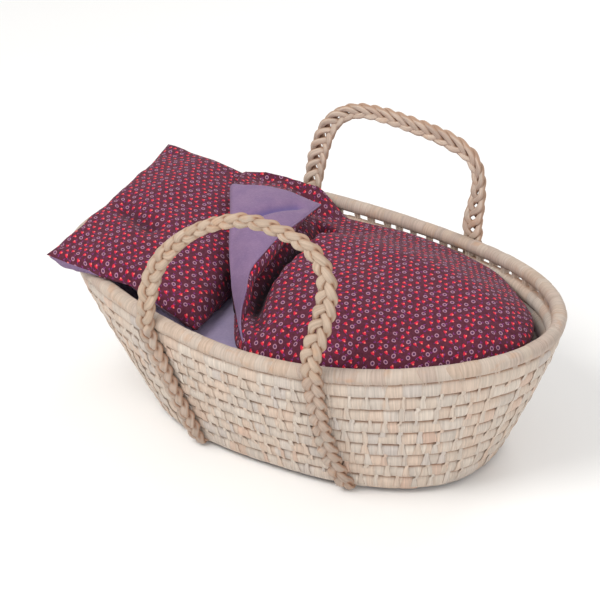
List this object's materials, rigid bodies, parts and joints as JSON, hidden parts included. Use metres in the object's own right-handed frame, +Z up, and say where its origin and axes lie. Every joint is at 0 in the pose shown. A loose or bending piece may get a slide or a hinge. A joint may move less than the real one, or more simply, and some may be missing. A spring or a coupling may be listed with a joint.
{
  "type": "doll moses basket with bedding",
  "caption": "Coiled palm-leaf doll's Moses basket with two braided swing handles and a mattress, pillow and printed duvet that lift out.",
  "frame": {"origin": "centre of the part's box, on the surface that the two under-straps stand on", "axes": "+X towards the foot end, the longest extent; -Y the near side; +Z up"},
  "size_m": [0.495, 0.3186, 0.2783],
  "materials": {
    "palm_leaf": "dry palm leaf wrapped over a core, matt with a faint waxy sheen and fine striations",
    "palm_braid": "braided dry palm leaf, matt",
    "palm_braid_pink": "braided dry palm leaf, slightly pinker and browner, matt",
    "printed_cotton": null,
    "lilac_cotton": "plain-weave lilac cotton, matt"
  },
  "bodies": {
    "basket": {"base_coil": "palm_leaf", "wall_row_1": "palm_leaf", "wall_row_2": "palm_leaf", "wall_row_3": "palm_leaf", "wall_row_4": "palm_leaf", "wall_row_5": "palm_leaf", "wall_row_6": "palm_leaf", "wall_row_7": "palm_leaf", "wall_row_8": "palm_leaf", "wall_row_9": "palm_leaf", "rim_coil": "palm_leaf", "rim_lacing": "palm_leaf", "near_head_strap": "palm_braid", "near_foot_strap": "palm_braid", "far_head_strap": "palm_braid", "far_foot_strap": "palm_braid", "head_under_strap": "palm_braid", "foot_under_strap": "palm_braid"},
    "near_handle": {"near_handle": "palm_braid"},
    "far_handle": {"far_handle": "palm_braid_pink"},
    "mattress": {"mattress": "lilac_cotton"},
    "pillow": {"pillow": "printed_cotton"},
    "duvet": {"duvet": "printed_cotton"}
  },
  "joints": [
    {"name": "near_handle_swing", "type": "hinge", "parent": "basket", "child": "near_handle", "pos_m": [0.00325, -0.1517, 0.152], "axis": [1, 0, 0], "range_deg": [-45, 110]},
    {"name": "far_handle_swing", "type": "hinge", "parent": "basket", "child": "far_handle", "pos_m": [0.00435, 0.1508, 0.1523], "axis": [-1, 0, 0], "range_deg": [-42, 110]},
    {"name": "mattress_lift", "type": "slide", "parent": "basket", "child": "mattress", "axis": [0, 0, 1], "range_m": [0, 0.14]},
    {"name": "pillow_lift", "type": "slide", "parent": "mattress", "child": "pillow", "axis": [0, 0, 1], "range_m": [0, 0.06]},
    {"name": "duvet_lift", "type": "slide", "parent": "pillow", "child": "duvet", "axis": [0, 0, 1], "range_m": [0, 0.075]}
  ]
}
